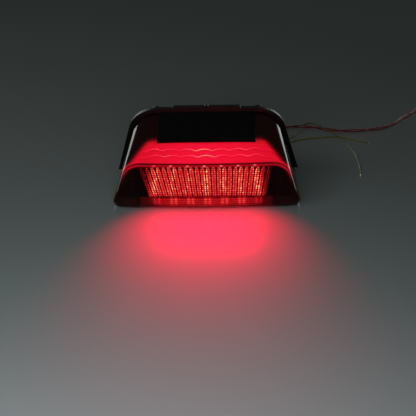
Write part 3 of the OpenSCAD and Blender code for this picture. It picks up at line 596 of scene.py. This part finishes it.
def bandStrip(v):
    # an upright strip with fine level ribs; each column of lamps runs down through it as a
    # pair of thin streaks, and it dims outwards and towards the foot
    x, z = np.meshgrid(np.linspace(-v["bandHalf"], v["bandHalf"], v["bandCols"]),
                       np.linspace(*v["bandZ"], v["bandRows"]))
    rib = np.abs(np.sin(np.pi * z / v["ribPitch"]))
    y = lamp["frontY"] + v["bandBehind"] + sweepBack(x) + v["ribDepth"] * (1 - rib)
    pairs = sum(ridge(x - column * lamp["ledPitch"] - v["streakShift"] + shift, 0, v["pairHalf"])
                for column in range(-3, 4) for shift in v["pair"])
    glow = (v["bandGlow"] + v["pairGlow"] * pairs * smoothStep(2.5, 8, z)) * (0.5 + 0.5 * rib)
    glow = glow * (0.25 + 0.75 * smoothStep(84, 40, np.abs(x))) * (0.7 + 0.3 * smoothStep(2, 7, z)) \
        * (0.4 + 0.6 * smoothStep(14.6, 12.4, z))
    return np.stack([x, y, z], axis=-1), glow


def makeOptic(v):
    # fan: columns run straight to one point far below, leaning a little to one side; across a
    # flute the surface is a rounded crest, and along it a row of beads
    cols = lamp["flutes"] * v["perFlute"] + 1
    rows = int(lamp["opticH"] / v["beadPitch"]) * v["perBead"] + 1
    u, z = np.meshgrid(np.linspace(0, lamp["flutes"], cols), np.linspace(0, lamp["opticH"], rows))
    half = lamp["fanW"] / 2 * (lamp["fanReach"] + z) / (lamp["fanReach"] + lamp["opticH"])
    x = half * (2 * u / lamp["flutes"] - 1) + v["drift"] * (0.5 - z / lamp["opticH"])
    crest = np.abs(np.sin(np.pi * u)) ** 0.7
    bead = np.abs(np.sin(np.pi * z / v["beadPitch"])) ** 0.8
    y = v["behind"] + sweepBack(x) * math.cos(lamp["lean"]) \
        + v["fluteDepth"] * (1 - crest) + v["beadDepth"] * (1 - bead)
    fan = onFace(x, y, z)
    band, bandGlow = bandStrip(v)
    faces = gridFaces(rows, cols) + gridFaces(v["bandRows"], v["bandCols"], start=rows * cols)
    glow = np.concatenate([fanGlow(x, z, u, bead, v).ravel(), bandGlow.ravel()])
    piece = pieceFrom("flutedOptic", np.vstack([fan.reshape(-1, 3), band.reshape(-1, 3)]), faces,
                      opticMaterial(), attributes={"glow": np.clip(glow, 0, 1)})
    wall = piece.modifiers.new("wall", "SOLIDIFY")
    wall.thickness, wall.offset = v["wall"] * mm, -1
    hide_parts("fluted_optic")
    return piece


optic = makeOptic(opticValues)
print("stage: optic")


# closed-cell foam, die cut: matt charcoal with small shallow cells that swallow the light
def foamMaterial():
    material, tree, where = newMaterial("closedCellFoamDieCut")
    # real cells are about 0.3 mm; they are drawn 1.1 mm wide so that they show
    cells = addNode(tree, "ShaderNodeTexVoronoi", {"feature": "F1"},
                    {"Scale": repeats(1.1), "Randomness": 0.9}, {"Vector": where})
    patch = noiseOf(tree, where, 8, 4.0)      # dust and rubs about 8 mm across
    finishTree(tree, {"Roughness": 0.92, "Specular IOR Level": 0.25, "Sheen Weight": 0.08},
               {"Base Color": toneOf(tree, patch, "#0a0a0b", "#1a1a1c"),
                "Normal": reliefOf(tree, cells.outputs["Distance"], 0.6, 0.3)})
    return material


padValues = {
    "halfW": 59.5, "front": -15.5, "back": 23.0, "thick": 2.0, "edge": 1.2, "under": 0.25,     # mm
    "cols": 150, "rows": 60, "crowd": 1.6,
    "ripple": 0.08, "rippleX": 7.3, "rippleY": 5.1,      # height, and mm for one radian of it
}


def makePad(v):
    # a sheet on the roof: near its edge the height falls on a quarter circle of the edge radius;
    # a ring of quads round the rim joins its top to its underside
    s = np.linspace(-1, 1, v["cols"])[None, :]
    t = np.linspace(-1, 1, v["rows"])[:, None]
    ease = lambda q: np.sign(q) * (1 - (1 - np.abs(q)) ** v["crowd"])     # closer rows at the edges
    x = v["halfW"] * ease(s) + 0 * t
    y = (v["front"] + v["back"]) / 2 + (v["back"] - v["front"]) / 2 * ease(t) + 0 * s
    inFrom = np.minimum(v["halfW"] - np.abs(x), np.minimum(y - v["front"], v["back"] - y))
    rounding = 1 - np.clip(inFrom / v["edge"], 0, 1)
    lift = v["thick"] - v["edge"] * (1 - np.sqrt(1 - rounding ** 2))
    ripple = v["ripple"] * np.sin(x / v["rippleX"] + 1.0) * np.sin(y / v["rippleY"]) \
        * smoothStep(0, 4, inFrom)
    top = np.stack([x, y, heightOver(x, y) + (lift + ripple) / math.cos(lamp["roof"])], axis=-1)
    under = np.stack([x, y, heightOver(x, y, v["under"])], axis=-1)
    rows, cols = v["rows"], v["cols"]
    size = rows * cols
    faces = gridFaces(rows, cols) + gridFaces(rows, cols, start=size, flip=True)
    ring = np.concatenate([np.arange(cols), np.arange(1, rows) * cols + cols - 1,
                           (rows - 1) * cols + np.arange(cols - 2, -1, -1),
                           np.arange(rows - 2, 0, -1) * cols])
    after = np.roll(ring, -1)
    faces += np.stack([after, ring, ring + size, after + size], axis=-1).tolist()
    piece = pieceFrom("foamPad", np.vstack([top.reshape(-1, 3), under.reshape(-1, 3)]), faces,
                      foamMaterial())
    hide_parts("top_pad")
    return piece


pad = makePad(padValues)
print("stage: pad")


# each entry: name, light and dark tone, gloss from to, grain in mm and its depth in mm; grain
# is drawn coarser than the real one, which is mostly under 0.2 mm and would not show
finishes = {
    # moulded on a spark-eroded tool: an even satin black
    "black_abs": {"name": "blackAbsMoulded", "hex": "#101011", "dark": "#0a0a0b",
                  "rough": (0.34, 0.52), "grain": 0.8, "relief": 0.03},
    # the same plastic unpolished: a duller black, with a painted red cast for the red light inside it
    "inner_black": {"name": "blackAbsInnerPaintedRedCast", "hex": "#120d0d", "dark": "#090606",
                    "rough": (0.4, 0.6), "grain": 1.2, "relief": 0.02},
    # silicone laid as a bead: matt and faintly uneven
    "gasket_rubber": {"name": "siliconeBeadExtruded", "hex": "#141414", "dark": "#0b0b0b",
                      "rough": (0.6, 0.8), "grain": 1.5, "relief": 0.04},
    # rubber pressed in a mould: soft matt black
    "black_rubber": {"name": "rubberMoulded", "hex": "#161616", "dark": "#0d0d0d",
                     "rough": (0.55, 0.75), "grain": 1.0, "relief": 0.03},
    # aluminium film under red lacquer: a deep red mirror, with a faint painted red glow for the lamps'
    # light on it
    "metallised_red": {"name": "metallisedRedLacquerPaintedGlow", "hex": "#8e2026", "dark": "#4a0a10",
                       "rough": (0.12, 0.28), "grain": 4.0, "relief": 0.02, "coat": 0.5,
                       "light": ("#c8101e", 0.35)},
    # glass-fibre board with printed solder mask: a glossy green, faintly uneven
    "board_green": {"name": "solderMaskPrinted", "hex": "#1d5a34", "dark": "#123f24",
                    "rough": (0.3, 0.45), "grain": 1.6, "relief": 0.02},
    # cast epoxy dome of a lit red source: smooth and glowing orange red
    "red_lamp": {"name": "epoxyDomeRedLit", "hex": "#e23a20", "dark": "#a01008",
                 "rough": (0.1, 0.2), "grain": 2.0, "relief": 0.0, "light": ("#ff7a3a", 3.0)},
    # cast epoxy dome of an unlit source: smooth dark amber
    "amber_lamp": {"name": "epoxyDomeAmber", "hex": "#a8691c", "dark": "#6d3d0c",
                   "rough": (0.1, 0.2), "grain": 2.0, "relief": 0.0},
    # component bodies pressed in filled epoxy: a dry fine-grained black
    "black_epoxy": {"name": "epoxyBodyMoulded", "hex": "#171717", "dark": "#0e0e0e",
                    "rough": (0.4, 0.55), "grain": 0.6, "relief": 0.02},
    # steel screws, zinc plated: cool grey with broken highlights
    "screw_steel": {"name": "steelZincPlated", "hex": "#b9bcc0", "dark": "#86888c",
                    "rough": (0.26, 0.42), "grain": 1.2, "relief": 0.01, "metal": 1.0},
    # turned steel, zinc plated: cool grey, a little sharper
    "collar_steel": {"name": "steelTurnedZincPlated", "hex": "#b4b7bb", "dark": "#7d8084",
                     "rough": (0.22, 0.4), "grain": 0.9, "relief": 0.015, "metal": 1.0},
    # turned brass: clear yellow highlights with browner patches
    "insert_brass": {"name": "brassTurned", "hex": "#c9a24e", "dark": "#8f6d2c",
                     "rough": (0.22, 0.38), "grain": 0.9, "relief": 0.015, "metal": 1.0},
    # stamped brass with a thin coat of tin: pale yellow grey
    "terminal_brass": {"name": "brassStampedTinned", "hex": "#cbb684", "dark": "#9a824f",
                       "rough": (0.25, 0.42), "grain": 0.9, "relief": 0.01, "metal": 1.0},
    # sleeve shrunk on with heat: tight, smooth dark blue
    "capacitor_sleeve": {"name": "shrinkSleeve", "hex": "#151c3a", "dark": "#0c1126",
                         "rough": (0.25, 0.4), "grain": 2.5, "relief": 0.02},
    # moulded nylon: a flat waxy green
    "terminal_plastic": {"name": "nylonMoulded", "hex": "#1f6a34", "dark": "#134824",
                         "rough": (0.4, 0.55), "grain": 1.0, "relief": 0.02},
    # extruded flat cable: plain grey with a slight waviness
    "ribbon_grey": {"name": "flatCableExtruded", "hex": "#7d7d84", "dark": "#5f5f66",
                    "rough": (0.4, 0.55), "grain": 1.3, "relief": 0.05},
}


def mouldedFinish(v):
    # two tones mixed by noise 18 mm broad, about a thumb's wear, gloss varied by the same
    # noise, and a fine grain as relief
    material, tree, where = newMaterial(v["name"])
    broad = noiseOf(tree, where, 18, 5.0)
    values = {"Metallic": v.get("metal", 0.0), "Coat Weight": v.get("coat", 0.0)}
    if "light" in v:
        values["Emission Color"], values["Emission Strength"] = linearOf(v["light"][0]), v["light"][1]
    links = {"Base Color": toneOf(tree, broad, v["dark"], v["hex"]),
             "Roughness": spreadOf(tree, broad, *v["rough"])}
    if v["relief"] > 0:
        links["Normal"] = reliefOf(tree, noiseOf(tree, where, v["grain"], 2.0), 0.5, v["relief"])
    finishTree(tree, values, links)
    return material


finishMaterials = {key: mouldedFinish(v) for key, v in finishes.items()}
nodeSlots = {
    "housing": "black_abs", "lens_gasket": "gasket_rubber", "inner_carrier": "inner_black",
    "led_reflector": "metallised_red", "upper_reflector": "metallised_red",
    "led_board": "board_green", "left_signal_board": "board_green", "right_signal_board": "board_green",
    "driver_board": "board_green", "tail_leds": "red_lamp", "left_signal_leds": "amber_lamp",
    "right_signal_leds": "amber_lamp", "led_resistors": "black_epoxy", "driver_regulator": "black_epoxy",
    "driver_diodes": "black_epoxy", "driver_capacitor": "capacitor_sleeve",
    "board_screws": "screw_steel", "carrier_screws": "screw_steel", "driver_screws": "screw_steel",
    "terminal_block": "terminal_plastic", "link_ribbon": "ribbon_grey", "lead_gland": "black_rubber",
    "breather_cap": "black_abs", "mounting_inserts": "insert_brass", "lug_grommet": "black_rubber",
    "lug_collar": "collar_steel", "bullet_terminals": "terminal_brass", "bullet_sleeves": "black_rubber",
}
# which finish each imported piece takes
for nodeName, slotName in nodeSlots.items():
    for holder in nodes[nodeName].material_slots:
        holder.material = finishMaterials[slotName]
for holder in nodes["inner_leads"].material_slots:
    holder.material = bpy.data.materials["redPvcExtruded"]
print("stage: finishes")


# pale laminate table top, pressed smooth: soft grey-white with a low sheen that mirrors the
# lamp close to it and blurs farther off
def floorMaterial():
    material, tree, where = newMaterial("paleLaminatePressed")
    cloud = noiseOf(tree, where, 330, 5.0)      # broad clouds in the print, 330 mm
    finishTree(tree, {"IOR": 1.5, "Specular IOR Level": 0.8, "Coat Weight": 1.0, "Coat IOR": 1.6,
                      "Coat Roughness": 0.09},
               {"Base Color": toneOf(tree, cloud, "#c3c9c8", "#ccd1cf"),
                "Roughness": spreadOf(tree, cloud, 0.11, 0.17)})
    return material


# places and sizes in metres: a soft light over the near floor, one from the left, two behind
# that reach the lamp but not the floor, and the red light the lamp throws before its foot
studio = {
    "world": ("#3a403e", 0.45),
    "floor": {"half": 4.0, "points": 9, "below": 0.00005},     # just under the lamp's flat foot
    "front": {"at": (-0.12, -0.68, 0.3), "to": (-0.12, -0.65, 0.0), "size": (0.6, 0.3), "watts": 1.3,
              "hex": "#effaff"},
    "left": {"at": (-1.0, -0.15, 0.8), "to": (-0.25, 0.1, 0.0), "size": (0.6, 0.5), "watts": 0.9,
             "hex": "#f4fbfa"},
    "rearRight": {"at": (1.2, 1.25, 0.36), "to": (0.0, 0.03, 0.05), "size": (1.5, 0.6), "watts": 6.5,
                  "offFloor": True, "hex": "#f4fbfa"},
    "rearLeft": {"at": (-1.2, 1.25, 0.36), "to": (0.0, 0.03, 0.05), "size": (1.5, 0.6), "watts": 6.0,
                 "offFloor": True, "hex": "#f4fbfa"},
    "pool": {"at": (0.0, -0.03, 0.07), "to": (0.0, -0.145, 0.0), "size": (0.13, 0.02), "watts": 0.22,
             "spread": 68, "throughWalls": True, "hex": "#ff0038"},
}


def areaLight(name, v, hidden=True):
    # hidden from gloss unless told otherwise, so that no light is mirrored in the floor; its
    # axes are built from the way it faces
    data = bpy.data.lights.new(name, "AREA")
    data.shape, data.size, data.size_y = "RECTANGLE", v["size"][0], v["size"][1]
    data.energy, data.color = v["watts"], linearOf(v["hex"])[:3]
    data.spread = math.radians(v.get("spread", 180))
    light = bpy.data.objects.new(name, data)
    way = np.array(v["to"]) - np.array(v["at"])
    way = way / np.linalg.norm(way)
    side = np.cross(way, [0, 0, 1.0])
    side = side / np.linalg.norm(side)
    axes = np.column_stack([side, np.cross(side, way), -way, v["at"]])
    light.matrix_world = Matrix(np.vstack([axes, [0, 0, 0, 1]]).tolist())
    light.visible_camera = False
    light.visible_glossy = not hidden
    data.use_shadow = not v.get("throughWalls", False)     # the lamp's own light starts inside it
    bpy.context.scene.collection.objects.link(light)
    if v.get("offFloor", False):     # a receiver list that leaves out the floor alone
        kept = bpy.data.collections.new(name + "Receivers")
        kept.objects.link(floor)
        kept.collection_objects[0].light_linking.link_state = "EXCLUDE"
        light.light_linking.receiver_collection = kept


def makeFloor(v):
    # a level square grid
    line = np.linspace(-v["half"], v["half"], v["points"])
    x, y = np.meshgrid(line, line)
    mesh = bpy.data.meshes.new("floor")
    mesh.from_pydata(np.stack([x, y, np.full_like(x, -v["below"])], axis=-1).reshape(-1, 3).tolist(), [],
                     gridFaces(v["points"], v["points"]))
    mesh.materials.append(floorMaterial())
    piece = bpy.data.objects.new("floor", mesh)
    bpy.context.scene.collection.objects.link(piece)
    return piece


floor = makeFloor(studio["floor"])
world = bpy.data.worlds.new("studioWorld")
bpy.context.scene.world = world
world.use_nodes = True
backdrop = world.node_tree.nodes["Background"]
backdrop.inputs["Color"].default_value = linearOf(studio["world"][0])
backdrop.inputs["Strength"].default_value = studio["world"][1]
areaLight("frontSoftLight", studio["front"])
areaLight("leftSoftLight", studio["left"])
areaLight("rearRightSoftLight", studio["rearRight"], hidden=False)
areaLight("rearLeftSoftLight", studio["rearLeft"], hidden=False)
areaLight("lampPoolLight", studio["pool"])
bpy.context.scene.view_settings.view_transform = "Standard"     # keeps the lit reds saturated
print("stage: floor and lights")
